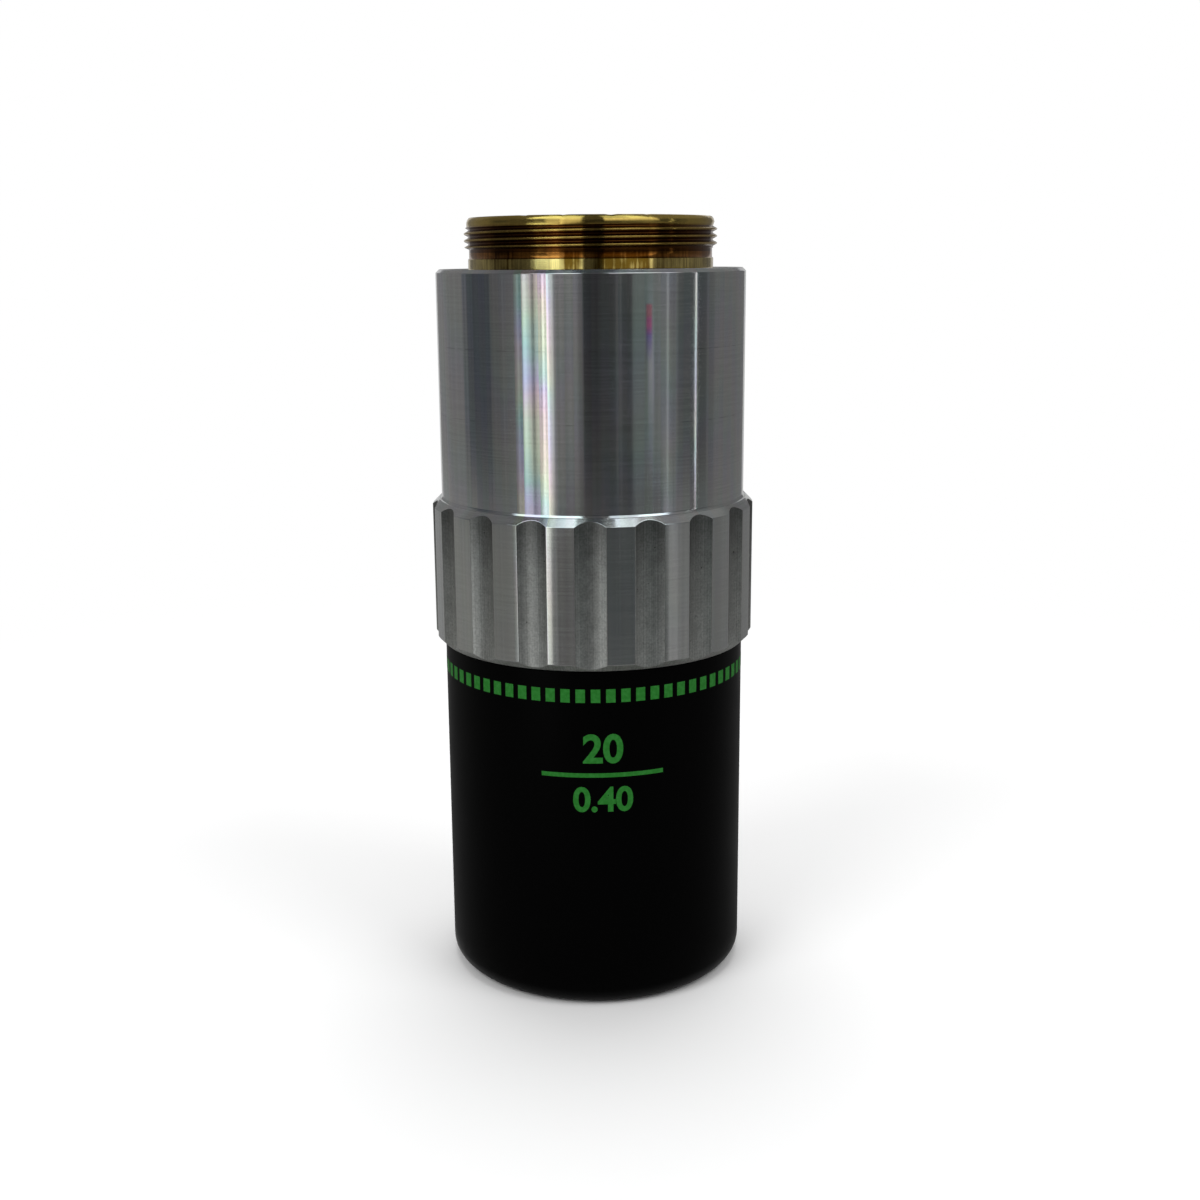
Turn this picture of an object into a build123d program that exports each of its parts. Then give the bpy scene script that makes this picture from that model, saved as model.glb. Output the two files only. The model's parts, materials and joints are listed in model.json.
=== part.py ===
from build123d import *
from math import sqrt
import os

# A long working distance microscope objective, standing on its front rim with its
# mounting thread up. Millimetres. Z is the optical axis, and z = 0 is the front rim.
# Nearly every piece is turned, so most of them are an outline of (radius, height)
# corners revolved about Z. Pieces are worked out from the nose upwards, apart from the
# rear cell, which is placed from the shoulder down.

# Fits between pieces
SLIP = 0.02              # radial clearance of a sliding seat
LENS_SLIP = 0.03         # radial clearance round a lens in its cell
CEMENT = 0.02            # cement between two lenses
OVERRUN = 1.0            # how far a cutter runs past what it cuts

# Outside of the body, which starts from the standard 26 mm thread
THREAD_RADIUS = 13.0
SHOULDER_WIDTH = 3.0     # from the thread's crests to the outside of the rear barrel
BARREL_LENGTH = 23.5     # plain rear barrel, from the grip to the shoulder
GRIP_LENGTH = 15.25      # fluted grip
SLEEVE_LENGTH = 36.25    # black front sleeve, from the grip to the front rim

# Rear barrel and grip, which are turned from one bar
SHOULDER_CHAMFER = 0.35
BARREL_WALL = 2.98       # leaves the bore that the lens tube slides in
GRIP_RISE = 1.0          # how far the grip stands out from the barrel
GRIP_LEDGE = 0.1         # flat ring between the grip's chamfer and the barrel's foot
FOOT_FILLET = 0.15       # where the barrel meets the grip
SPIGOT_LENGTH = 7.0      # the part that the sleeve screws over
SPIGOT_WALL = 1.98
SPIGOT_CHAMFER = 0.4
FLUTES = 18
FLUTE_DEPTH = 0.5
FLUTE_CUTTER_RADIUS = 3.0
FLUTE_START = -90.8      # degrees round Z, so that a flute faces the front
SOCKET_DEPTH = 6.0       # thread that takes the rear mount
WEB_THICKNESS = 3.0      # inner flange below the socket
WEB_WIDTH = 3.52

# Front sleeve
NOSE_ROUNDING = 2.0
NOSE_WALL = 2.0
NOSE_OPENING_CHAMFER = 0.9
NOSE_COLLAR_LENGTH = 6.0     # bore that centres the front of the lens tube
SLEEVE_SOCKET_WALL = 0.98    # round the spigot
SLEEVE_WALL = 1.8            # below the spigot
SPIGOT_RELIEF = 0.3          # axial room above the sleeve's inner step
SLEEVE_TOP_CHAMFER = 0.2

# Rear mount, a brass ring with the thread at both ends and a neck between them
THREAD_LENGTH = 2.6
NECK_DROP = 0.38             # how far each of these lies below the thread's crests
NECK_LENGTH = 1.0
RELIEF_DROP = 0.5
RELIEF_LENGTH = 0.6
LEAD_DROP = 0.3
LEAD_LENGTH = 0.9
LEAD_CHAMFER = 0.25
MOUNT_WALL = 2.4             # from the bore to the thread's crests
MOUNT_BORE_CHAMFER = 0.6
MOUNT_FLOOR = 1.5            # step that carries the rear stop
MOUNT_FLOOR_WIDTH = 1.1

# Rear stop, a black disc that hides the inside of the barrel
STOP_THICKNESS = 1.5
STOP_WIDTH = 4.98            # from its rim in to its hole
STOP_FLARE = 1.0
STOP_SLOT_DEPTH = 0.6

# Lens tube
TUBE_WALL = 1.0
TUBE_LIP = 1.2
TUBE_LIP_WIDTH = 0.7
PARFOCAL_RING_THICKNESS = 2.5
PARFOCAL_RING_WIDTH = 3.2
PARFOCAL_TRAVEL = 1.2        # room behind the ring for setting the focus height
STACK_RING_THICKNESS = 2.0
STACK_RING_WIDTH = 3.38
SPACER_WALL = 1.4

# Cells and their retainers
CELL_NOSE_STANDOFF = 0.5     # front cell's face behind the front rim
CELL_NOSE_SLIP = 0.15
RETAINER_STANDOFF = 0.2      # front retainer's face behind the front cell's face
RETAINER_THICKNESS = 1.0
SEAT_WIDTH = 0.8             # how far a seat reaches in under a lens
FRONT_SEAT_THICKNESS = 1.3
REAR_SEAT_THICKNESS = 1.2
CELL_EDGE_CHAMFER = 0.3
CENTRING_SLIP = 0.2          # radial room round the cell that the screws centre
SLOT_WIDTH = 1.2             # two slots for a pin spanner in every ring
SLOT_DEPTH = 0.5

# Grub screws
LOCK_SCREWS = 3
LOCK_SCREW_RADIUS = 1.0
LOCK_SCREW_FLUSH = 0.2       # below the spigot's surface
CENTRING_SCREWS = 3
CENTRING_SCREW_RADIUS = 0.8
CENTRING_SCREW_FLUSH = 0.05  # below the tube's surface
CENTRING_SCREW_PLACE = 2.5   # above the lower face of the cell they push on
CENTRING_SCREW_START = 30.0  # degrees round Z
THREAD_SLIP = 0.02
HEX_SHARE = 0.5              # size of a screw's hexagon, as a share of its diameter
HEX_DEPTH_SHARE = 0.4        # depth of the hexagon, as a share of the screw's length
HEX_SIDES = 6

# Lens groups from the front: the cell's wall round the glass, the air in front and the
# centre thicknesses. The surface radii are shares of the glass's own radius, and one is
# positive where its centre lies behind it.
FRONT_CELL_WALL = 1.12
FRONT_SURFACE_SHARES = (-4.0, -1.95)
FRONT_THICKNESS = 5.2

SECOND_CELL_WALL = 0.95
SECOND_AIR = 1.0
SECOND_SURFACE_SHARES = (-8.2, -2.9)
SECOND_THICKNESS = 4.6

THIRD_CELL_WALL = 0.95
THIRD_AIR = 0.5
THIRD_SURFACE_SHARES = (5.45, -2.73, -8.64)
THIRD_CROWN_THICKNESS = 6.4
THIRD_FLINT_THICKNESS = 1.8

FOURTH_CELL_WALL = 1.17
FOURTH_AIR = 0.8
FOURTH_SURFACE_SHARES = (4.25, 1.98, -2.45, -11.3)
FOURTH_FRONT_THICKNESS = 1.6
FOURTH_CROWN_THICKNESS = 7.6
FOURTH_REAR_THICKNESS = 1.8

FIFTH_CELL_WALL = 2.55
FIFTH_AIR = 0.9
FIFTH_SURFACE_SHARES = (2.98, -3.62, 6.38)
FIFTH_CROWN_THICKNESS = 4.8
FIFTH_FLINT_THICKNESS = 1.6

REAR_CELL_WALL = 5.55
REAR_SURFACE_SHARES = (-2.5, 1.88, 9.4)
REAR_FLINT_THICKNESS = 1.6
REAR_CROWN_THICKNESS = 3.6

# Heights that follow from the sizes above
grip_low = SLEEVE_LENGTH
grip_high = grip_low + GRIP_LENGTH
shoulder = grip_high + BARREL_LENGTH
socket_floor = shoulder - SOCKET_DEPTH
web_low = socket_floor - WEB_THICKNESS
spigot_low = grip_low - SPIGOT_LENGTH
tube_front = NOSE_WALL
tube_rear = web_low - PARFOCAL_TRAVEL - PARFOCAL_RING_THICKNESS
stack_rear = tube_rear - STACK_RING_THICKNESS
mount_floor_top = socket_floor + MOUNT_FLOOR

# Radii that follow from the sizes above, first the body's and then the mount's
barrel_radius = THREAD_RADIUS + SHOULDER_WIDTH
barrel_bore = barrel_radius - BARREL_WALL
grip_radius = barrel_radius + GRIP_RISE
grip_chamfer = GRIP_RISE - GRIP_LEDGE - FOOT_FILLET
spigot_radius = barrel_bore + SPIGOT_WALL
sleeve_socket = spigot_radius + SLIP
sleeve_radius = sleeve_socket + SLEEVE_SOCKET_WALL
sleeve_bore = sleeve_radius - SLEEVE_WALL
tube_radius = barrel_bore - SLIP
tube_bore = tube_radius - TUBE_WALL
cell_radius = tube_bore - SLIP
nose_opening = tube_bore - TUBE_LIP_WIDTH
socket_radius = THREAD_RADIUS + SLIP
mount_bore = THREAD_RADIUS - MOUNT_WALL
mount_floor_hole = mount_bore - MOUNT_FLOOR_WIDTH


def turned(*corners):
    """A solid of revolution about Z from (radius, height) corners in order."""
    outline = Plane.XZ * Polyline(*corners, close=True)
    return revolve(make_face(outline), Axis.Z)


def sag(surface, radius):
    """Height of a spherical surface at a radius, above its own vertex."""
    depth = abs(surface) - sqrt(surface**2 - radius**2)
    return depth if surface > 0 else -depth


def lens(front, rear, low, thickness, radius):
    """One lens: vertex heights low and low + thickness, edge ground to radius."""
    high = low + thickness
    half = radius / 2
    front_arc = ThreePointArc(
        (0, low), (half, low + sag(front, half)), (radius, low + sag(front, radius))
    )
    edge = Line((radius, low + sag(front, radius)), (radius, high + sag(rear, radius)))
    rear_arc = ThreePointArc(
        (radius, high + sag(rear, radius)), (half, high + sag(rear, half)), (0, high)
    )
    outline = Plane.XZ * (front_arc + edge + rear_arc + Line((0, high), (0, low)))
    return revolve(make_face(outline), Axis.Z)


def cemented(low, surfaces, thicknesses, radius):
    """Lenses glued in a row, front one first, and the height of the last vertex."""
    pieces = []
    for front, rear, thickness in zip(surfaces, surfaces[1:], thicknesses):
        pieces.append(lens(front, rear, low, thickness, radius))
        low += thickness + CEMENT
    return pieces, low - CEMENT


def slotted(ring, face, depth, radius):
    """Cuts the two spanner slots, depth deep, into the face at height face."""
    cutter = Pos(0, 0, face) * Box(2 * (radius + OVERRUN), SLOT_WIDTH, 2 * depth)
    return ring - cutter


def slotted_ring(outer, inner, low, high, face):
    """A threaded ring with its spanner slots in the face that the tool reaches."""
    ring = turned((inner, low), (outer, low), (outer, high), (inner, high))
    return slotted(ring, face, SLOT_DEPTH, outer)


def grub_screws(count, radius, inner, outer, height, start):
    """Radial grub screws round Z, each with its hexagon facing outwards."""
    length = outer - inner
    hexagon = extrude(
        RegularPolygon(HEX_SHARE * radius, HEX_SIDES), length * HEX_DEPTH_SHARE
    )
    body = Cylinder(radius, length, align=(Align.CENTER, Align.CENTER, Align.MIN))
    screw = body - Pos(0, 0, length * (1 - HEX_DEPTH_SHARE)) * hexagon
    return [
        Rot(0, 0, start + index * 360 / count) * Pos(inner, 0, height) * Rot(0, 90, 0) * screw
        for index in range(count)
    ]


def radial_holes(count, radius, inner, outer, height, start):
    """Round cutters for the screws above, run past both walls."""
    length = outer - inner + 2 * OVERRUN
    hole = Cylinder(radius, length, align=(Align.CENTER, Align.CENTER, Align.MIN))
    return [
        Rot(0, 0, start + index * 360 / count)
        * Pos(inner - OVERRUN, 0, height)
        * Rot(0, 90, 0)
        * hole
        for index in range(count)
    ]


def make_grip_barrel():
    """Rear barrel, fluted grip and spigot, turned from one bar of aluminium."""
    body = turned(
        (barrel_bore, spigot_low),
        (spigot_radius - SPIGOT_CHAMFER, spigot_low),
        (spigot_radius, spigot_low + SPIGOT_CHAMFER),
        (spigot_radius, grip_low),
        (grip_radius - grip_chamfer, grip_low),
        (grip_radius, grip_low + grip_chamfer),
        (grip_radius, grip_high - grip_chamfer),
        (grip_radius - grip_chamfer, grip_high),
        (barrel_radius + FOOT_FILLET, grip_high),
        (barrel_radius, grip_high + FOOT_FILLET),
        (barrel_radius, shoulder - SHOULDER_CHAMFER),
        (barrel_radius - SHOULDER_CHAMFER, shoulder),
        (socket_radius, shoulder),
        (socket_radius, socket_floor),
        (barrel_bore - WEB_WIDTH, socket_floor),
        (barrel_bore - WEB_WIDTH, web_low),
        (barrel_bore, web_low),
    )
    flute_centre = grip_radius - FLUTE_DEPTH + FLUTE_CUTTER_RADIUS
    cutter = extrude(Circle(FLUTE_CUTTER_RADIUS), GRIP_LENGTH + 2 * OVERRUN)
    flute_row = [
        Pos(0, 0, grip_low - OVERRUN) * place * cutter
        for place in PolarLocations(flute_centre, FLUTES, start_angle=FLUTE_START)
    ]
    holes = radial_holes(
        LOCK_SCREWS, LOCK_SCREW_RADIUS + THREAD_SLIP, tube_radius, spigot_radius,
        lock_screw_height, 0,
    )
    return body - flute_row - holes


def make_front_sleeve():
    """Black shell that screws over the spigot and ends in the rounded nose."""
    step = spigot_low - SPIGOT_RELIEF
    collar_top = NOSE_WALL + NOSE_COLLAR_LENGTH
    body = turned(
        (nose_opening + NOSE_OPENING_CHAMFER, 0),
        (sleeve_radius, 0),
        (sleeve_radius, SLEEVE_LENGTH - SLEEVE_TOP_CHAMFER),
        (sleeve_radius - SLEEVE_TOP_CHAMFER, SLEEVE_LENGTH),
        (sleeve_socket, SLEEVE_LENGTH),
        (sleeve_socket, step),
        (sleeve_bore, step),
        (sleeve_bore, collar_top),
        (tube_radius + SLIP, collar_top),
        (tube_radius + SLIP, NOSE_WALL),
        (nose_opening, NOSE_WALL),
        (nose_opening, NOSE_OPENING_CHAMFER),
    )
    rim = body.edges().filter_by(GeomType.CIRCLE).sort_by(Axis.Z)[:2]
    return fillet(rim.sort_by(SortBy.RADIUS)[-1], NOSE_ROUNDING)


def make_rear_mount():
    """Brass ring: its lower half screws into the barrel, its upper half into a turret."""
    relief_low = shoulder + NECK_LENGTH
    thread_low = relief_low + RELIEF_LENGTH
    thread_high = thread_low + THREAD_LENGTH
    top = thread_high + LEAD_LENGTH
    return turned(
        (mount_floor_hole, socket_floor),
        (THREAD_RADIUS, socket_floor),
        (THREAD_RADIUS, shoulder),
        (THREAD_RADIUS - NECK_DROP, shoulder),
        (THREAD_RADIUS - NECK_DROP, relief_low),
        (THREAD_RADIUS - RELIEF_DROP, relief_low),
        (THREAD_RADIUS - RELIEF_DROP, thread_low),
        (THREAD_RADIUS, thread_low),
        (THREAD_RADIUS, thread_high),
        (THREAD_RADIUS - LEAD_DROP, thread_high),
        (THREAD_RADIUS - LEAD_DROP, top - LEAD_CHAMFER),
        (THREAD_RADIUS - LEAD_DROP - LEAD_CHAMFER, top),
        (mount_bore + MOUNT_BORE_CHAMFER, top),
        (mount_bore, top - MOUNT_BORE_CHAMFER),
        (mount_bore, mount_floor_top),
        (mount_floor_hole, mount_floor_top),
    )


def make_rear_stop():
    """Black disc with a flared hole, screwed into the mount's bore."""
    outer = mount_bore - SLIP
    hole = outer - STOP_WIDTH
    top = mount_floor_top + STOP_THICKNESS
    disc = turned(
        (hole, mount_floor_top),
        (outer, mount_floor_top),
        (outer, top),
        (hole + STOP_FLARE, top),
        (hole, top - STOP_FLARE),
    )
    return slotted(disc, top, STOP_SLOT_DEPTH, outer)


def make_lens_tube():
    """Tube that holds the stack of cells, stopped by a lip at its front."""
    tube = turned(
        (nose_opening, tube_front),
        (tube_radius, tube_front),
        (tube_radius, tube_rear),
        (tube_bore, tube_rear),
        (tube_bore, tube_front + TUBE_LIP),
        (nose_opening, tube_front + TUBE_LIP),
    )
    return tube - radial_holes(
        CENTRING_SCREWS, CENTRING_SCREW_RADIUS + THREAD_SLIP, tube_bore, tube_radius,
        centring_screw_height, CENTRING_SCREW_START,
    )


def front_group():
    """Front cell and lens, loaded from the front. Returns pieces, glass end, cell end."""
    boss = nose_opening - CELL_NOSE_SLIP
    pocket = boss - FRONT_CELL_WALL
    radius = pocket - LENS_SLIP
    window = radius - SEAT_WIDTH
    first, last = (share * radius for share in FRONT_SURFACE_SHARES)
    cell_front = CELL_NOSE_STANDOFF
    ring_low = cell_front + RETAINER_STANDOFF
    ring_high = ring_low + RETAINER_THICKNESS
    low = ring_high - min(sag(first, window), sag(first, radius))
    high = low + FRONT_THICKNESS
    seat = high + max(sag(last, window), sag(last, radius))
    cell_rear = seat + FRONT_SEAT_THICKNESS
    lip_rear = tube_front + TUBE_LIP
    cell = turned(
        (pocket, cell_front),
        (boss - CELL_EDGE_CHAMFER, cell_front),
        (boss, cell_front + CELL_EDGE_CHAMFER),
        (boss, lip_rear),
        (cell_radius, lip_rear),
        (cell_radius, cell_rear),
        (window, cell_rear),
        (window, seat),
        (pocket, seat),
    )
    pieces = {
        "front_cell": cell,
        "front_meniscus": lens(first, last, low, FRONT_THICKNESS, radius),
        "front_retainer": slotted_ring(pocket - SLIP, window, ring_low, ring_high, ring_low),
    }
    return pieces, high, cell_rear


def rear_loaded_group(name, glass_names, outer, wall, shares, thicknesses, glass_low, cell_low):
    """A cell whose lip is cut to the length that holds its first vertex at glass_low."""
    pocket = outer - wall
    radius = pocket - LENS_SLIP
    window = radius - SEAT_WIDTH
    surfaces = [share * radius for share in shares]
    glasses, high = cemented(glass_low, surfaces, thicknesses, radius)
    seat = glass_low + min(sag(surfaces[0], window), sag(surfaces[0], radius))
    ring_low = high + max(sag(surfaces[-1], window), sag(surfaces[-1], radius))
    ring_high = ring_low + RETAINER_THICKNESS
    cell = turned(
        (window, cell_low),
        (outer - CELL_EDGE_CHAMFER, cell_low),
        (outer, cell_low + CELL_EDGE_CHAMFER),
        (outer, ring_high),
        (pocket, ring_high),
        (pocket, seat),
        (window, seat),
    )
    retainer = slotted_ring(pocket - SLIP, window, ring_low, ring_high, ring_high)
    pieces = {f"{name}_cell": cell, f"{name}_retainer": retainer}
    pieces.update(zip(glass_names, glasses))
    return pieces, high, ring_high


def rear_group():
    """Rear cell, placed from the back of the tube. Returns pieces and its front height."""
    pocket = cell_radius - REAR_CELL_WALL
    radius = pocket - LENS_SLIP
    window = radius - SEAT_WIDTH
    surfaces = [share * radius for share in REAR_SURFACE_SHARES]
    thicknesses = (REAR_FLINT_THICKNESS, REAR_CROWN_THICKNESS)
    ring_low = stack_rear - RETAINER_THICKNESS
    high = ring_low - max(sag(surfaces[-1], window), sag(surfaces[-1], radius))
    low = high - sum(thicknesses) - CEMENT
    seat = low + min(sag(surfaces[0], window), sag(surfaces[0], radius))
    cell_front = seat - REAR_SEAT_THICKNESS
    cell = turned(
        (window, cell_front),
        (cell_radius - CELL_EDGE_CHAMFER, cell_front),
        (cell_radius, cell_front + CELL_EDGE_CHAMFER),
        (cell_radius, stack_rear),
        (pocket, stack_rear),
        (pocket, seat),
        (window, seat),
    )
    glasses, _ = cemented(low, surfaces, thicknesses, radius)
    retainer = slotted_ring(pocket - SLIP, window, ring_low, stack_rear, stack_rear)
    pieces = {"rear_cell": cell, "rear_retainer": retainer}
    pieces.update(zip(("rear_flint", "rear_crown"), glasses))
    return pieces, cell_front


# The stack of cells, each standing on the one in front of it
parts, glass_end, cell_end = front_group()
second_pieces, glass_end, cell_end = rear_loaded_group(
    "second", ("second_lens",), cell_radius, SECOND_CELL_WALL, SECOND_SURFACE_SHARES,
    (SECOND_THICKNESS,), glass_end + SECOND_AIR, cell_end,
)
third_pieces, glass_end, cell_end = rear_loaded_group(
    "third", ("third_crown", "third_flint"), cell_radius, THIRD_CELL_WALL,
    THIRD_SURFACE_SHARES, (THIRD_CROWN_THICKNESS, THIRD_FLINT_THICKNESS),
    glass_end + THIRD_AIR, cell_end,
)
centring_screw_height = cell_end + CENTRING_SCREW_PLACE
fourth_pieces, glass_end, cell_end = rear_loaded_group(
    "fourth", ("fourth_front_flint", "fourth_crown", "fourth_rear_flint"),
    tube_bore - CENTRING_SLIP, FOURTH_CELL_WALL, FOURTH_SURFACE_SHARES,
    (FOURTH_FRONT_THICKNESS, FOURTH_CROWN_THICKNESS, FOURTH_REAR_THICKNESS),
    glass_end + FOURTH_AIR, cell_end,
)
fifth_pieces, glass_end, cell_end = rear_loaded_group(
    "fifth", ("fifth_crown", "fifth_flint"), cell_radius, FIFTH_CELL_WALL,
    FIFTH_SURFACE_SHARES, (FIFTH_CROWN_THICKNESS, FIFTH_FLINT_THICKNESS),
    glass_end + FIFTH_AIR, cell_end,
)
rear_pieces, rear_cell_front = rear_group()
for pieces in (second_pieces, third_pieces, fourth_pieces, fifth_pieces, rear_pieces):
    parts.update(pieces)

# Long spacer between the front groups and the rear one, and the two rings that lock them
spacer_bore = cell_radius - SPACER_WALL
parts["long_spacer"] = turned(
    (spacer_bore, cell_end),
    (cell_radius, cell_end),
    (cell_radius, rear_cell_front),
    (spacer_bore, rear_cell_front),
)
parts["stack_ring"] = slotted_ring(
    cell_radius, cell_radius - STACK_RING_WIDTH, stack_rear, tube_rear, tube_rear
)
parfocal_high = tube_rear + PARFOCAL_RING_THICKNESS
parts["parfocal_ring"] = slotted_ring(
    tube_radius, tube_radius - PARFOCAL_RING_WIDTH, tube_rear, parfocal_high, parfocal_high
)

# Body pieces, with the screws that hold the tube and centre its fourth cell
lock_screw_height = spigot_low + SPIGOT_LENGTH / 2
parts["lens_tube"] = make_lens_tube()
parts["grip_barrel"] = make_grip_barrel()
parts["front_sleeve"] = make_front_sleeve()
parts["rear_mount"] = make_rear_mount()
parts["rear_stop"] = make_rear_stop()
parts["tube_lock_screws"] = Compound(children=grub_screws(
    LOCK_SCREWS, LOCK_SCREW_RADIUS, tube_radius, spigot_radius - LOCK_SCREW_FLUSH,
    lock_screw_height, 0,
))
parts["centring_screws"] = Compound(children=grub_screws(
    CENTRING_SCREWS, CENTRING_SCREW_RADIUS, tube_bore - CENTRING_SLIP,
    tube_radius - CENTRING_SCREW_FLUSH, centring_screw_height, CENTRING_SCREW_START,
))

os.makedirs("parts", exist_ok=True)
for name, shape in parts.items():
    export_step(shape, f"parts/{name}.step")
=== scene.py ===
import bmesh
import bpy
import json
import math
from mathutils import Matrix, Vector


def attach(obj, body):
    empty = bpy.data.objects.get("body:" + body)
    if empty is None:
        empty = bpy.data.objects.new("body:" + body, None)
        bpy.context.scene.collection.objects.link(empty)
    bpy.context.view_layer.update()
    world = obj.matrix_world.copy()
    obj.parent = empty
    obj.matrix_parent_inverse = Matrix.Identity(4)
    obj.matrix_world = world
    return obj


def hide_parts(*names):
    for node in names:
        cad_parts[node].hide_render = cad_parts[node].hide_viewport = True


# A long working distance microscope objective, standing on its front rim.
# Metres, z up. The printed marks face -y, where the camera is.
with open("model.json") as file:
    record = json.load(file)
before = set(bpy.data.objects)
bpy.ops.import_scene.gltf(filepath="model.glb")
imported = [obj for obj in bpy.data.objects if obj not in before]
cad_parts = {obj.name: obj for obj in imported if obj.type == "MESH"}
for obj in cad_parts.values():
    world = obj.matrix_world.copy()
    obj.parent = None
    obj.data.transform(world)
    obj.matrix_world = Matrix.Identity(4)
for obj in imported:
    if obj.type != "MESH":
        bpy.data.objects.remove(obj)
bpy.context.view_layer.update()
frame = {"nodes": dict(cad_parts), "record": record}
mm = 0.001
print("frame loaded:", len(frame["nodes"]), "nodes")


def hexColour(code):
    # sRGB hex to the linear values that Blender works in
    parts = [int(code[i:i + 2], 16) / 255 for i in (1, 3, 5)]
    linear = [p / 12.92 if p <= 0.04045 else ((p + 0.055) / 1.055) ** 2.4 for p in parts]
    return (*linear, 1)


def grey(level):
    return (level, level, level, 1)


def addNode(tree, kind, inputs=None, stops=(), **settings):
    # one node: an input given as a node or one of its sockets is linked, anything else is set
    node = tree.nodes.new(kind)
    for key, value in settings.items():
        setattr(node, key, value)
    for key, value in (inputs or {}).items():
        value = value.outputs[0] if isinstance(value, bpy.types.Node) else value
        if isinstance(value, bpy.types.NodeSocket):
            tree.links.new(value, node.inputs[key])
        else:
            node.inputs[key].default_value = value
    for i, (position, colour) in enumerate(stops):  # a ramp has two stops at first, so its ends lead the list
        stop = node.color_ramp.elements[i] if i < 2 else node.color_ramp.elements.new(position)
        stop.position = position
        stop.color = colour
    return node


def spanned(value, source, target=(0.0, 1.0)):
    # inputs of a range node that takes the two ends of source to those of target
    return {"Value": value, "From Min": source[0], "From Max": source[1],
            "To Min": target[0], "To Max": target[1]}


def relief(pattern, strength, depth):
    # inputs of a bump node, depth in mm
    return {"Height": pattern, "Strength": strength, "Distance": depth * mm}


def newMaterial(name):
    material = bpy.data.materials.new(name)
    material.use_nodes = True
    material.node_tree.nodes.clear()
    return material, material.node_tree


def place(radius, angle, height):
    # mm and degrees to metres; angle 0 faces -y and grows towards +x
    turn = math.radians(angle)
    return Vector((radius * math.sin(turn), -radius * math.cos(turn), height)) * mm


def addObject(name, mesh, materials):
    data = bpy.data.meshes.new(name)
    mesh.to_mesh(data)
    mesh.free()
    for material in materials:
        data.materials.append(material)
    added = bpy.data.objects.new(name, data)
    bpy.context.scene.collection.objects.link(added)
    return added


roundedFrom = 26   # degrees: edges that turn less than this aren't rounded


def addPiece(name, mesh, materials, nodeName=None, edge=0):
    # edge is the width in mm of the rounding on the piece's sharp edges
    bmesh.ops.recalc_face_normals(mesh, faces=mesh.faces)
    piece = addObject(name, mesh, materials)
    if edge:
        bevel = piece.modifiers.new("softEdges", "BEVEL")
        bevel.width = edge * mm
        bevel.segments = 2
        bevel.limit_method = "ANGLE"
        bevel.angle_limit = math.radians(roundedFrom)
        bevel.harden_normals = True
    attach(piece, "root")
    if nodeName:
        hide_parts(nodeName)


def turnedMesh(columns, outlineAt, kindAt=None):
    # a closed ring of outlines: outlineAt(angle) gives one column's (radius, height) points in mm
    mesh = bmesh.new()
    rings = [[mesh.verts.new(place(r, angle, z)) for r, z in outlineAt(angle)] for angle in columns]
    for i, ring in enumerate(rings):
        following = rings[(i + 1) % len(rings)]
        for j in range(len(ring)):
            k = (j + 1) % len(ring)
            face = mesh.faces.new((ring[j], following[j], following[k], ring[k]))
            face.smooth = True
            if kindAt:
                face.material_index = kindAt(i, j)
    return mesh


# Patterns that several materials share. Noise gathers round 0.5, so its middle is stretched.
noiseWide, noiseMiddle, noiseUpper = (0.3, 0.7), (0.35, 0.65), (0.35, 0.7)


def turningLines(tree, pitch, breaks=40.0, detail=3.0):
    # lines round the axis, pitch in mm from one to the next; more breaks let a line fade out sooner
    coordinates = addNode(tree, "ShaderNodeTexCoord")
    stretched = addNode(tree, "ShaderNodeVectorMath", {
        0: coordinates.outputs["Object"], 1: (breaks, breaks, 1 / (pitch * mm))}, operation="MULTIPLY")
    return addNode(tree, "ShaderNodeTexNoise", {
        "Vector": stretched, "Scale": 1.0, "Detail": detail, "Roughness": 0.6})


def cloudiness(tree, size, detail=2.0):
    # soft patches, size in mm
    coordinates = addNode(tree, "ShaderNodeTexCoord")
    return addNode(tree, "ShaderNodeTexNoise", {
        "Vector": coordinates.outputs["Object"], "Scale": 1 / (size * mm), "Detail": detail})


def streaksAround(tree, turn, count, detail=3.0):
    # upright streaks, about this many in a whole turn
    spread = addNode(tree, "ShaderNodeMath", {0: turn, 1: count}, operation="MULTIPLY")
    return addNode(tree, "ShaderNodeTexNoise", {
        "W": spread, "Scale": 1.0, "Detail": detail}, noise_dimensions="1D")


def pits(tree, spacing, radius, share):
    # small round marks on a share of the cells, spacing and radius in mm; 1 inside a mark
    core = 0.4   # part of the radius that is at full strength
    coordinates = addNode(tree, "ShaderNodeTexCoord")
    cells = addNode(tree, "ShaderNodeTexVoronoi", {
        "Vector": coordinates.outputs["Object"], "Scale": 1 / (spacing * mm)})
    inside = addNode(tree, "ShaderNodeMapRange", spanned(
        cells.outputs["Distance"], (radius / spacing, core * radius / spacing)))
    chosen = addNode(tree, "ShaderNodeSeparateColor", {0: cells.outputs["Color"]})
    some = addNode(tree, "ShaderNodeMath", {0: chosen.outputs[0], 1: share}, operation="LESS_THAN")
    return addNode(tree, "ShaderNodeMath", {0: inside, 1: some}, operation="MULTIPLY")


def around(tree):
    # the angle round the axis as -0.5 to 0.5 of a turn, 0 at the front, and the height in metres
    coordinates = addNode(tree, "ShaderNodeTexCoord")
    parts = addNode(tree, "ShaderNodeSeparateXYZ", {0: coordinates.outputs["Object"]})
    forward = addNode(tree, "ShaderNodeMath", {0: parts.outputs[1], 1: -1.0}, operation="MULTIPLY")
    angle = addNode(tree, "ShaderNodeMath", {0: parts.outputs[0], 1: forward}, operation="ARCTAN2")
    turn = addNode(tree, "ShaderNodeMath", {0: angle, 1: 1 / (2 * math.pi)}, operation="MULTIPLY")
    return turn, parts.outputs[2]


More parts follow.
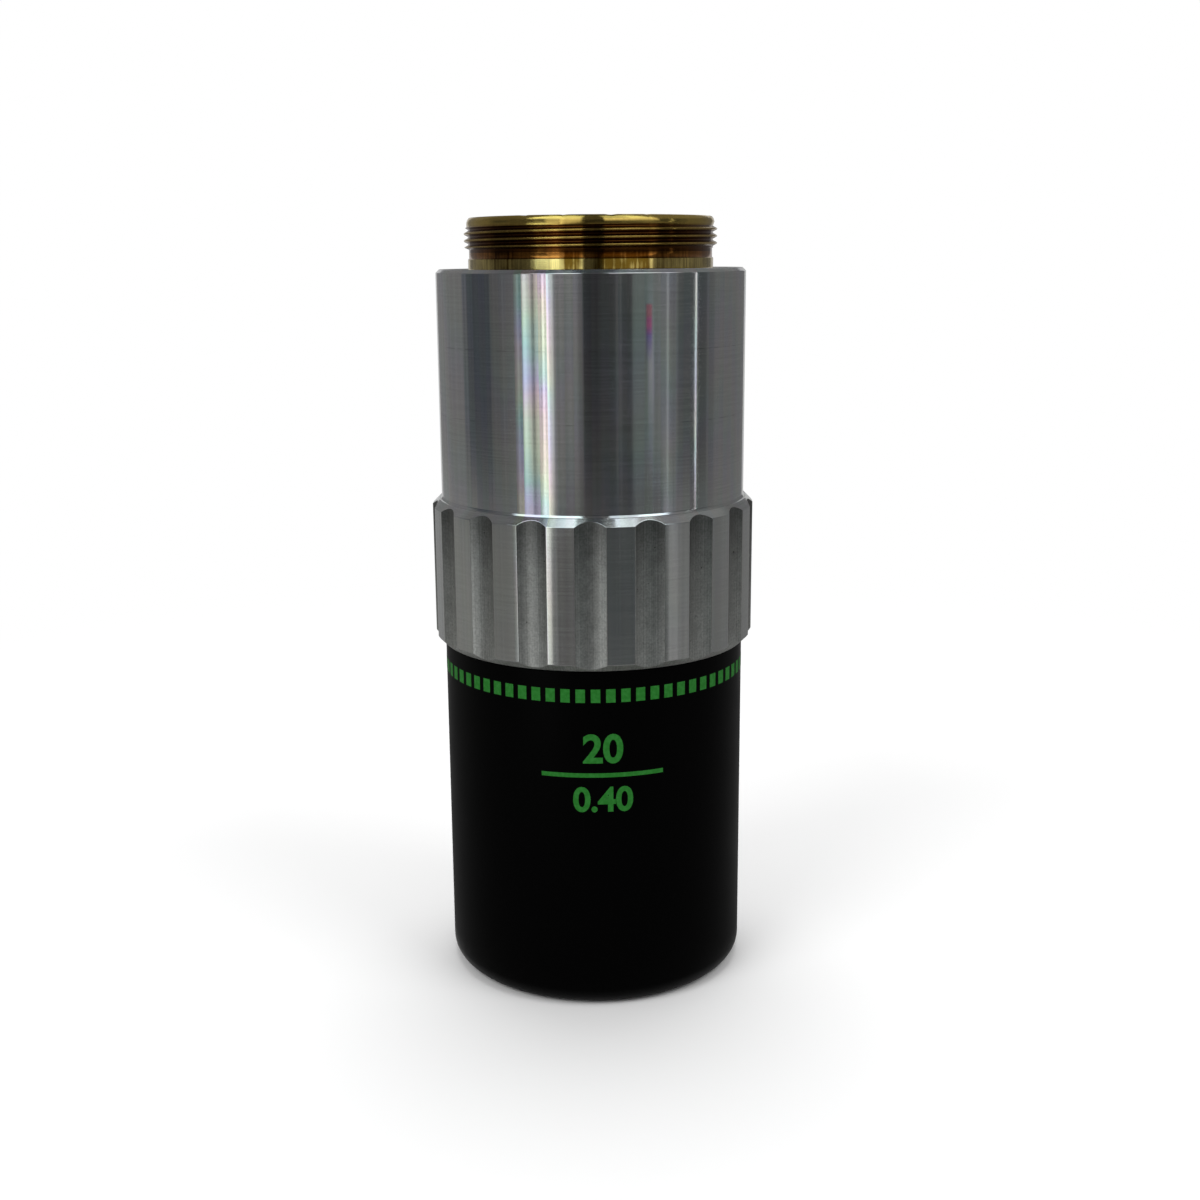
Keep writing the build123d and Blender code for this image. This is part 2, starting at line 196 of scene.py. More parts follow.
def awayFrom(tree, value, centre):
    # how far a value is from a centre, on either side
    off = addNode(tree, "ShaderNodeMath", {0: value, 1: centre}, operation="SUBTRACT")
    return addNode(tree, "ShaderNodeMath", {0: off}, operation="ABSOLUTE")


def finishMetal(tree, colour, roughness, anisotropy, normal):
    # bare metal with grooves round its axis; the quarter turn smears reflections across them
    grain = addNode(tree, "ShaderNodeTangent", direction_type="RADIAL", axis="Z")
    shader = addNode(tree, "ShaderNodeBsdfPrincipled", {
        "Base Color": colour.outputs[2], "Metallic": 1.0, "Roughness": roughness,
        "Anisotropic": anisotropy, "Anisotropic Rotation": 0.25, "Tangent": grain,
        "Normal": normal})
    addNode(tree, "ShaderNodeOutputMaterial", {"Surface": shader})


# Bare aluminium, turned on a lathe and left uncoated. The grooves run round it, so reflections
# smear up and down into sharp vertical bands, and handling has left smudges, specks and thin rings.
# Specks, here and below: spacing and radius in mm, and the share of places that has one.
# Bumps, here and below: strength, and depth in mm.
turnedLook = {
    "upper": "#d2d4d5",
    "lower": "#d3d5d3",
    "toneEdge": (50.0, 52.0),   # mm, where the grip's tone passes into the barrel's
    "grime": "#5d5f60",
    "roughness": (0.115, 0.155),
    "smudgeSize": 9.0,
    "smudged": (0.45, 0.75),
    "smudgeRoughness": 0.035,
    "anisotropy": 0.96,
    "linePitch": 0.13,     # real feed is about 0.05 mm, drawn coarser so that it shows
    "lineBreaks": 170.0,
    "lineShade": (0.94, 1.03),
    "lineBump": (0.25, 0.004),
    "specks": (1.2, 0.085, 0.05),
    "speckBump": (0.5, 0.02),
    # rings where a tool or clamp has touched, broken up by gaps: heights and sizes in mm
    "ringHeights": (60.45, 67.4),
    "ringHalfWidth": 0.055,
    "ringCore": 0.3,       # part of it that is at full strength
    "ringGapSize": 1.4,
    "ringGaps": (0.46, 0.6),
    "ringShare": 0.32,
    # the rear chamfer and top face are painted darker, a painted shade that dims their reflection: from
    # where, over how many mm, to what share
    "edgeFrom": 74.6, "edgeRise": 0.1, "edgeShare": 0.84,
    "rainbow": [(0.0, "#ffe2f0"), (1.0, "#ffe2f0"), (0.2, "#e8dfff"), (0.42, "#d4f4ea"),
                (0.62, "#f0fbdc"), (0.82, "#fff0de")],
    "rainbowTurns": 84.0,       # colour cycles for each metre of height
    "rainbowStripes": 118.0,    # upright stripes in a turn, each starting its cycle elsewhere
    "rainbowStrength": (0.2, 0.85),
    # where the first or the second strength holds, in turns from the back; the strong strips are painted
    # where the bright reflections stand
    "rainbowStrips": [(0.0, 0), (1.0, 0), (0.422, 0), (0.428, 1), (0.458, 1), (0.463, 0),
                      (0.5745, 0), (0.5765, 1), (0.5785, 0), (0.6055, 0), (0.608, 1), (0.6105, 0)],
    "rainbowLow": 0.25,         # share of the strength on the grip
    # short flare of colour painted in the light strip right of the front, a painted reflection: middle and
    # width in turns, heights in mm
    "flare": (0.5556, 0.0085, (66.2, 71.9)),
    "flareFade": [(0.0, 0.0), (1.0, 0.0), (0.5, 0.62), (0.95, 0.62)],
    "flareHues": [(0.0, "#8078c0"), (1.0, "#ff8098"), (0.45, "#9468d8"), (0.62, "#ff4cb0"),
                  (0.74, "#ff4cb0"), (0.8, "#ff8098")],
}


def makeTurnedAluminium():
    look = turnedLook
    material, tree = newMaterial("turnedAluminium")
    lines = turningLines(tree, look["linePitch"], look["lineBreaks"], detail=4.0)
    smudges = cloudiness(tree, look["smudgeSize"], detail=4.0)
    specks = pits(tree, *look["specks"])
    turn, height = around(tree)
    fromBack = addNode(tree, "ShaderNodeMath", {0: turn, 1: 0.5}, operation="ADD")
    fromLines = addNode(tree, "ShaderNodeMapRange", spanned(lines, noiseWide, look["roughness"]))
    fromSmudges = addNode(tree, "ShaderNodeMapRange", spanned(
        smudges, look["smudged"], (0.0, look["smudgeRoughness"])))
    roughness = addNode(tree, "ShaderNodeMath", {0: fromLines, 1: fromSmudges}, operation="ADD")
    rings = 0.0
    for z in look["ringHeights"]:
        ring = addNode(tree, "ShaderNodeMapRange", spanned(
            awayFrom(tree, height, z * mm),
            (look["ringHalfWidth"] * mm, look["ringCore"] * look["ringHalfWidth"] * mm)))
        rings = addNode(tree, "ShaderNodeMath", {0: rings, 1: ring}, operation="MAXIMUM")
    broken = addNode(tree, "ShaderNodeMapRange", spanned(
        cloudiness(tree, look["ringGapSize"], detail=3.0), look["ringGaps"]))
    rings = addNode(tree, "ShaderNodeMath", {0: rings, 1: broken}, operation="MULTIPLY")
    # painted colours standing for the light that the grooves split into pale pink, green and violet, a
    # painted reflection fixed on the metal, each stripe out of step with the next
    stripe = addNode(tree, "ShaderNodeMath", {
        0: fromBack, 1: look["rainbowStripes"]}, operation="MULTIPLY")
    number = addNode(tree, "ShaderNodeMath", {0: stripe}, operation="FLOOR")
    ownStart = addNode(tree, "ShaderNodeTexWhiteNoise", {"W": number}, noise_dimensions="1D")
    wander = addNode(tree, "ShaderNodeMath", {0: smudges, 1: ownStart.outputs["Value"]}, operation="ADD")
    drift = addNode(tree, "ShaderNodeMath", {
        0: height, 1: look["rainbowTurns"], 2: wander}, operation="MULTIPLY_ADD")
    cycle = addNode(tree, "ShaderNodeMath", {0: drift}, operation="FRACT")
    rainbow = addNode(tree, "ShaderNodeValToRGB", {0: cycle}, stops=[
        (share, hexColour(code)) for share, code in look["rainbow"]])
    strips = addNode(tree, "ShaderNodeValToRGB", {0: fromBack}, stops=[
        (share, grey(look["rainbowStrength"][which])) for share, which in look["rainbowStrips"]])
    low, high = look["toneEdge"]
    tone = addNode(tree, "ShaderNodeMapRange", spanned(height, (low * mm, high * mm)))
    plain = addNode(tree, "ShaderNodeMix", {
        0: tone, 6: hexColour(look["lower"]), 7: hexColour(look["upper"])}, data_type="RGBA")
    kept = addNode(tree, "ShaderNodeMapRange", spanned(tone, (0.0, 1.0), (look["rainbowLow"], 1.0)))
    tint = addNode(tree, "ShaderNodeMath", {0: strips, 1: kept}, operation="MULTIPLY")
    tinted = addNode(tree, "ShaderNodeMix", {
        0: tint, 6: plain.outputs[2], 7: rainbow},
        data_type="RGBA", blend_type="MULTIPLY")
    # the painted flare runs from violet through magenta to salmon, and fades out downwards
    middle, width, (flareLow, flareHigh) = look["flare"]
    across = addNode(tree, "ShaderNodeMapRange", spanned(
        awayFrom(tree, fromBack, middle), (width / 2, width / 5)))
    along = addNode(tree, "ShaderNodeMapRange", spanned(height, (flareLow * mm, flareHigh * mm)))
    fade = addNode(tree, "ShaderNodeValToRGB", {0: along}, stops=[
        (share, grey(level)) for share, level in look["flareFade"]])
    glare = addNode(tree, "ShaderNodeValToRGB", {0: along}, stops=[
        (share, hexColour(code)) for share, code in look["flareHues"]])
    lit = addNode(tree, "ShaderNodeMath", {0: across, 1: fade}, operation="MULTIPLY")
    tinted = addNode(tree, "ShaderNodeMix", {0: lit, 6: tinted.outputs[2], 7: glare}, data_type="RGBA")
    shade = addNode(tree, "ShaderNodeMapRange", spanned(lines, noiseMiddle, look["lineShade"]))
    # painted shade on the rear chamfer and top face
    edge = addNode(tree, "ShaderNodeMapRange", spanned(
        height, (look["edgeFrom"] * mm, (look["edgeFrom"] + look["edgeRise"]) * mm),
        (1.0, look["edgeShare"])))
    shade = addNode(tree, "ShaderNodeMath", {0: shade, 1: edge}, operation="MULTIPLY")
    lined = addNode(tree, "ShaderNodeVectorMath", {
        0: tinted.outputs[2], "Scale": shade}, operation="SCALE")
    faint = addNode(tree, "ShaderNodeMath", {0: rings, 1: look["ringShare"]}, operation="MULTIPLY")
    marks = addNode(tree, "ShaderNodeMath", {0: specks, 1: faint}, operation="MAXIMUM")
    colour = addNode(tree, "ShaderNodeMix", {
        0: marks, 6: lined, 7: hexColour(look["grime"])}, data_type="RGBA")
    bump = addNode(tree, "ShaderNodeBump", relief(lines, *look["lineBump"]))
    dent = addNode(tree, "ShaderNodeBump", {
        **relief(specks, *look["speckBump"]), "Normal": bump}, invert=True)
    finishMetal(tree, colour, roughness, look["anisotropy"], dent)
    return material


# The flutes were cut with a round mill after turning: duller, cloudy, with small pits and tool marks.
milledLook = {
    "colour": "#cbccc8",
    "grime": "#454541",
    "roughness": (0.44, 0.52),
    "anisotropy": 0.3,
    "linePitch": 0.15,     # drawn coarser than the real tool marks
    "lineBreaks": 700.0,
    "lineShade": (0.94, 1.03),
    "cloudSize": 1.3,
    "cloudShade": (0.9, 1.05),
    "grainSize": 0.2,
    "grainShade": (0.84, 1.12),
    "grainBump": (0.3, 0.01),
    "scratchesAround": 700.0,   # upright, in a whole turn
    "scratchShade": (0.86, 1.1),
    "specks": (0.6, 0.09, 0.12),
    "scars": (2.4, 0.2, 0.2),
    # painted shade: the share of its brightness that the metal keeps at heights in mm above the front rim,
    # darker towards the upper chamfer
    "paintedShade": [(36.2, 1.0), (41.0, 0.84), (45.5, 0.7), (48.5, 0.5), (50.5, 0.36)],
}


def makeMilledAluminium():
    look = milledLook
    material, tree = newMaterial("milledAluminium")
    lines = turningLines(tree, look["linePitch"], look["lineBreaks"], detail=4.0)
    clouds = cloudiness(tree, look["cloudSize"], detail=5.0)
    fine = cloudiness(tree, look["grainSize"], detail=3.0)
    turn, height = around(tree)
    scratches = streaksAround(tree, turn, look["scratchesAround"])
    roughness = addNode(tree, "ShaderNodeMapRange", spanned(clouds, noiseUpper, look["roughness"]))
    # the flutes are painted darker towards the top, a painted shade
    lowest, highest = look["paintedShade"][0][0], look["paintedShade"][-1][0]
    up = addNode(tree, "ShaderNodeMapRange", spanned(height, (lowest * mm, highest * mm)))
    stops = [((z - lowest) / (highest - lowest), grey(share)) for z, share in look["paintedShade"]]
    paintedShade = addNode(tree, "ShaderNodeValToRGB", {0: up}, stops=[stops[0], stops[-1]] + stops[1:-1])
    shading = paintedShade
    for pattern, shade in ((lines, "lineShade"), (clouds, "cloudShade"),
                           (fine, "grainShade"), (scratches, "scratchShade")):
        part = addNode(tree, "ShaderNodeMapRange", spanned(pattern, noiseMiddle, look[shade]))
        shading = addNode(tree, "ShaderNodeMath", {0: shading, 1: part}, operation="MULTIPLY")
    lined = addNode(tree, "ShaderNodeVectorMath", {
        0: hexColour(look["colour"])[:3], "Scale": shading}, operation="SCALE")
    specks, scars = pits(tree, *look["specks"]), pits(tree, *look["scars"])
    dots = addNode(tree, "ShaderNodeMath", {0: specks, 1: scars}, operation="MAXIMUM")
    colour = addNode(tree, "ShaderNodeMix", {
        0: dots, 6: lined, 7: hexColour(look["grime"])}, data_type="RGBA")
    bump = addNode(tree, "ShaderNodeBump", relief(fine, *look["grainBump"]))
    finishMetal(tree, colour, roughness, look["anisotropy"], bump)
    return material


# Rear barrel and grip, one bar of aluminium. The flutes run out through both chamfers.
# Radii, heights and widths in mm, fluteTurn and fluteHalf in degrees.
gripBarrel = {
    "bore": 13.02, "tubeBore": 9.5, "webLow": 66.0, "webHigh": 69.0,
    "spigot": 15.0, "spigotLow": 29.25, "spigotEdge": 0.4,
    "grip": 17.0, "gripLow": 36.25, "gripHigh": 51.5, "gripFoot": 16.25,
    "foot": 16.14, "footHigh": 51.75, "barrel": 16.0, "top": 75.0, "topEdge": 0.35,
    "flutes": 18, "fluteTurn": -0.8, "cutterCentre": 19.5, "cutter": 3.0, "fluteHalf": 5.22,
    "fluteSteps": 12, "landSteps": 10, "edge": 0.05,
}


def fluteRadius(angle):
    g = gripBarrel
    spread = 360 / g["flutes"]
    off = math.radians((angle - g["fluteTurn"] + spread / 2) % spread - spread / 2)
    side = g["cutterCentre"] * math.sin(off)
    if abs(side) >= g["cutter"]:
        return g["grip"]
    return min(g["grip"], g["cutterCentre"] * math.cos(off) - math.sqrt(g["cutter"] ** 2 - side ** 2))


def gripOutline(angle):
    g = gripBarrel
    r = fluteRadius(angle)
    rise = r - g["gripFoot"]
    return [
        (g["bore"], g["spigotLow"]), (g["spigot"] - g["spigotEdge"], g["spigotLow"]),
        (g["spigot"], g["spigotLow"] + g["spigotEdge"]), (g["spigot"], g["gripLow"]),
        (g["gripFoot"], g["gripLow"]), (r, g["gripLow"] + rise), (r, g["gripHigh"] - rise),
        (g["gripFoot"], g["gripHigh"]), (g["foot"], g["gripHigh"]), (g["barrel"], g["footHigh"]),
        (g["barrel"], g["top"] - g["topEdge"]), (g["barrel"] - g["topEdge"], g["top"]),
        (g["bore"], g["top"]), (g["bore"], g["webHigh"]), (g["tubeBore"], g["webHigh"]),
        (g["tubeBore"], g["webLow"]), (g["bore"], g["webLow"])]


lowerChamfer, gripWall = 4, 5   # where these start in the outline


def makeGripBarrel():
    g = gripBarrel
    spread = 360 / g["flutes"]
    steps = [(2 * i / g["fluteSteps"] - 1) * g["fluteHalf"] for i in range(g["fluteSteps"])]
    landWidth = spread - 2 * g["fluteHalf"]
    steps += [g["fluteHalf"] + i / g["landSteps"] * landWidth for i in range(g["landSteps"])]
    columns = [g["fluteTurn"] + spread * k + step for k in range(g["flutes"]) for step in steps]

    def finishAt(i, j):
        # the flutes and the lower chamfer are milled, the rest is turned
        inFlute = j == gripWall and i % len(steps) < g["fluteSteps"]
        return 1 if inFlute or j == lowerChamfer else 0

    mesh = turnedMesh(columns, gripOutline, finishAt)
    finishes = [makeTurnedAluminium(), makeMilledAluminium()]
    addPiece("grip_and_barrel", mesh, finishes, "grip_barrel", g["edge"])


makeGripBarrel()
print("grip and barrel made")


# Satin black lacquer, sprayed on the aluminium sleeve and baked: near black face on,
# with a soft sheen only towards the sides, a slight orange peel and a little dust.
lacquerLook = {
    "colour": "#020202",
    "dust": "#1e1e1c",
    "specks": (1.9, 0.05, 0.05),
    "roughness": (0.34, 0.42),
    "smudgeSize": 11.0,
    "specular": 0.036,
    "peelSize": 0.7,
    "peelBump": (0.12, 0.01),
}


def makeBlackLacquer():
    look = lacquerLook
    material, tree = newMaterial("satinBlackLacquer")
    roughness = addNode(tree, "ShaderNodeMapRange", spanned(
        cloudiness(tree, look["smudgeSize"], detail=4.0), noiseUpper, look["roughness"]))
    colour = addNode(tree, "ShaderNodeMix", {
        0: pits(tree, *look["specks"]), 6: hexColour(look["colour"]), 7: hexColour(look["dust"])},
        data_type="RGBA")
    bump = addNode(tree, "ShaderNodeBump", relief(cloudiness(tree, look["peelSize"]), *look["peelBump"]))
    shader = addNode(tree, "ShaderNodeBsdfPrincipled", {
        "Base Color": colour.outputs[2], "Roughness": roughness,
        "Specular IOR Level": look["specular"], "Normal": bump})
    addNode(tree, "ShaderNodeOutputMaterial", {"Surface": shader})
    return material


# Front sleeve with its rounded nose, screwed over the barrel's spigot
frontSleeve = {
    "radius": 16.0, "nose": 2.0, "noseSteps": 10, "rimBore": 12.2, "columns": 240,
    "top": 36.05, "topEdge": 0.2, "edge": 0.04,
    "inside": [(15.02, 36.25), (15.02, 28.95), (14.2, 28.95), (14.2, 8.0),
               (13.02, 8.0), (13.02, 2.0), (11.3, 2.0), (11.3, 0.9)],
}


def makeFrontSleeve():
    s = frontSleeve
    outline = [(s["rimBore"], 0.0)]
    for i in range(s["noseSteps"] + 1):
        turn = math.pi / 2 * i / s["noseSteps"]
        outline.append((
            s["radius"] - s["nose"] * (1 - math.sin(turn)), s["nose"] * (1 - math.cos(turn))))
    outline += [(s["radius"], s["top"]), (s["radius"] - s["topEdge"], s["top"] + s["topEdge"])]
    outline += s["inside"]
    columns = [360 * i / s["columns"] for i in range(s["columns"])]
    mesh = turnedMesh(columns, lambda angle: outline)
    addPiece("black_sleeve", mesh, [makeBlackLacquer()], "front_sleeve", s["edge"])


makeFrontSleeve()
print("front sleeve made")


# Green ink, screen printed on the lacquer: flat and even, with a slightly rough skin.
inkLook = {
    "colour": "#1d661f",
    "paler": "#27702a",
    "roughness": 0.5,
    "specular": 0.1,
    "grainSize": 0.35,
    "grainSpan": (0.4, 0.65),
    "grainBump": (0.2, 0.004),
}


def makeGreenInk():
    look = inkLook
    material, tree = newMaterial("screenPrintedInk")
    grain = cloudiness(tree, look["grainSize"], detail=3.0)
    pale = addNode(tree, "ShaderNodeMapRange", spanned(grain, look["grainSpan"]))
    colour = addNode(tree, "ShaderNodeMix", {
        0: pale, 6: hexColour(look["colour"]), 7: hexColour(look["paler"])}, data_type="RGBA")
    bump = addNode(tree, "ShaderNodeBump", relief(grain, *look["grainBump"]))
    shader = addNode(tree, "ShaderNodeBsdfPrincipled", {
        "Base Color": colour.outputs[2], "Roughness": look["roughness"],
        "Specular IOR Level": look["specular"], "Normal": bump})
    addNode(tree, "ShaderNodeOutputMaterial", {"Surface": shader})
    return material


# Printed marks: the ring of dashes is the usual colour code for a magnification,
# and below it are plain numbers with a rule between them. Sizes in mm, turns in degrees.
printedMarks = {
    "surface": 16.0, "proud": 0.012, "under": 0.01, "stripStep": 0.3,
    "dashes": 66, "dashTurn": 0.47, "dashWidth": 0.95, "dashLow": 32.95, "dashHigh": 34.33,
    "markTurn": 3.0, "ruleWidth": 12.6, "ruleLow": 25.15, "ruleHigh": 25.6,
    "numbers": [("20", 3.0, 26.75), ("0.40", 2.6, 21.6)],   # text, height and foot
    "figureShare": 0.73,   # a figure's height as a share of the font's size
    "boldness": 0.028, "curveSteps": 6, "slice": 0.35, "onPlane": 1e-5, "merged": 1e-4,
}


def addStrip(mesh, middle, width, low, high):
    # a thin closed patch that follows the sleeve's curve
    p = printedMarks
    under, over = p["surface"] - p["under"], p["surface"] + p["proud"]
    half = math.degrees(width / 2 / p["surface"])
    steps = max(2, round(width / p["stripStep"]))
    angles = [middle + half * (2 * i / steps - 1) for i in range(steps + 1)]
    corners = [(under, low), (over, low), (over, high), (under, high)]
    rings = [[mesh.verts.new(place(r, angle, z)) for r, z in corners] for angle in angles]
    for one, other in zip(rings, rings[1:]):
        for j in range(4):
            k = (j + 1) % 4
            mesh.faces.new((one[j], other[j], other[k], one[k]))
    mesh.faces.new(rings[0])
    mesh.faces.new(reversed(rings[-1]))


def addNumber(mesh, text, height, foot):
    # the figures' outlines, sliced upright so that they bend round the sleeve
    p = printedMarks
    curve = bpy.data.curves.new("number", "FONT")
    curve.body = text
    curve.align_x = "CENTER"
    curve.size = height / p["figureShare"]
    curve.offset = p["boldness"] * curve.size
    curve.resolution_u = p["curveSteps"]
    lettering = bpy.data.objects.new("number", curve)
    bpy.context.scene.collection.objects.link(lettering)
    graph = bpy.context.evaluated_depsgraph_get()
    flat = bpy.data.meshes.new_from_object(lettering.evaluated_get(graph))
    bpy.data.objects.remove(lettering)
    part = bmesh.new()
    part.from_mesh(flat)
    bpy.data.meshes.remove(flat)
    reach = max(abs(v.co.x) for v in part.verts)
    x = -reach
    while x < reach:
        bmesh.ops.bisect_plane(
            part, geom=part.verts[:] + part.edges[:] + part.faces[:],
            plane_co=(x, 0, 0), plane_no=(1, 0, 0), dist=p["onPlane"])
        x += p["slice"]
    bmesh.ops.remove_doubles(part, verts=part.verts, dist=p["merged"])
    outer, inner = {}, {}
    for v in part.verts:
        angle = p["markTurn"] + math.degrees(v.co.x / p["surface"])
        outer[v] = mesh.verts.new(place(p["surface"] + p["proud"], angle, foot + v.co.y))
        inner[v] = mesh.verts.new(place(p["surface"] - p["under"], angle, foot + v.co.y))
    for face in part.faces:
        mesh.faces.new([outer[v] for v in face.verts])
        mesh.faces.new([inner[v] for v in reversed(face.verts)])
    for border in part.edges:
        if border.is_boundary:
            a, b = border.verts
            mesh.faces.new((outer[a], outer[b], inner[b], inner[a]))
    part.free()


def makePrinting():
    p = printedMarks
    ink = makeGreenInk()
    dashes = bmesh.new()
    for i in range(p["dashes"]):
        angle = p["dashTurn"] + 360 * i / p["dashes"]
        addStrip(dashes, angle, p["dashWidth"], p["dashLow"], p["dashHigh"])
    addPiece("dash_ring", dashes, [ink])
    rule = bmesh.new()
    addStrip(rule, p["markTurn"], p["ruleWidth"], p["ruleLow"], p["ruleHigh"])
    addPiece("printed_rule", rule, [ink])
    numbers = bmesh.new()
    for text, height, foot in p["numbers"]:
        addNumber(numbers, text, height, foot)
    addPiece("printed_numbers", numbers, [ink])


makePrinting()
print("printing made")


# Brass, turned and threaded, never lacquered: bright gold where the neck is rubbed, between olive bands that
# are partly tarnish and partly painted shade, brown in the relief, brown in the thread's valleys with painted
# shade up their flanks, dull gold on the lead-in.
brassLook = {
    "bright": "#efd98a",
    "oliveTarnishAndShade": "#5c4e2e",
    "brown": "#b87c3a",
    "valleyStainAndShade": "#6c421a",
    "crest": "#c8a858",
    "lead": "#ceb260",
    "roughness": (0.14, 0.22),
    "anisotropy": 0.93,
    "linePitch": 0.1,      # about twice the real feed
    "lineBreaks": 60.0,
    "lineBump": (0.3, 0.005),
    "cloudSize": 1.7,
    "specks": (0.5, 0.06, 0.12),
    # how far the stains blend at the tops of the neck, the relief and the thread, as shares of the height
    "blends": (0.01, 0.05, 0.03),
    # mm below the crest where the valley's stain starts, painted shade on the flanks, and above the root
    # where it is full
    "valleySpan": (0.03, 0.2),
    "valleyEnds": (0.02, 0.05),   # mm left out at the thread's two ends
    # how dull it is round the mount, tarnish together with painted shade in the dark bands at the front, from
    # the back at 0 by the front at 0.5 to the back again
    "dullnessAndShade": [
        (0.0, 0.4), (1.0, 0.4), (0.25, 0.45), (0.355, 0.5), (0.37, 0.88), (0.39, 0.88), (0.402, 0.65),
        (0.4245, 0.58), (0.431, 0.03), (0.4625, 0.06), (0.468, 0.9), (0.485, 0.9), (0.49, 0.6),
        (0.503, 0.6), (0.508, 0.92), (0.535, 1.0), (0.541, 0.9), (0.56, 1.0), (0.572, 0.95),
        (0.578, 0.5), (0.584, 0.8), (0.6, 0.7), (0.62, 0.5)],
    # share of that dullness and painted shade at the neck, the thread and the rubbed rear edge
    "dullAndShadeByHeight": (1.0, 0.6, 0.27),
    "wipedAround": 230.0,   # upright streaks in a whole turn
    "uneven": (0.8, 1.2), "patches": (-0.14, 0.2),   # clouds and wiped streaks together, and what they add
}

brassMount = {
    "bore": 10.6, "boreEdge": 0.6, "low": 69.0, "foot": 13.0, "seat": 75.0,
    "webBore": 9.5, "webHigh": 70.5, "neck": 12.62, "neckHigh": 76.0, "relief": 12.5,
    "threadLow": 76.6, "runOut": 76.95, "threadHigh": 79.2, "pitch": 0.706, "threadTurn": 0.55,
    "crest": 13.0, "root": 12.58, "rootFlat": 0.16, "flankShare": 0.7,
    "lowSlope": 2.4, "highSlope": 1.2, "lead": 12.7, "leadHigh": 79.85, "top": 80.1,
    "rowsPerTurn": 16, "columns": 360, "creaseFrom": 38,
    # how each corner is broken: steps in radius and height from where it would be sharp
    "neckFoot": [(0.05, 0), (0, 0.05)], "neckEdge": [(0, -0.04), (-0.04, 0)], "reliefRise": 0.02,
    "leadEdge": [(0.02, -0.28), (-0.07, 0)], "rimEdge": [(-0.22, -0.03), (-0.3, 0)],
    "boreRim": [(0.06, 0), (0, -0.04)], "boreFoot": [(0.04, 0), (0, -0.06)],
    # dents in the rear edge: angle, width in degrees, depth in mm
    "nicks": [
        (-31, 2.4, 0.07), (-12, 1.6, 0.05), (9, 3.0, 0.06), (26, 1.5, 0.05), (71, 2.6, 0.07),
        (118, 2.0, 0.06), (153, 3.2, 0.09), (166, 1.8, 0.06), (184, 2.6, 0.08), (197, 1.5, 0.05),
        (212, 2.8, 0.07), (263, 2.0, 0.06)],
}


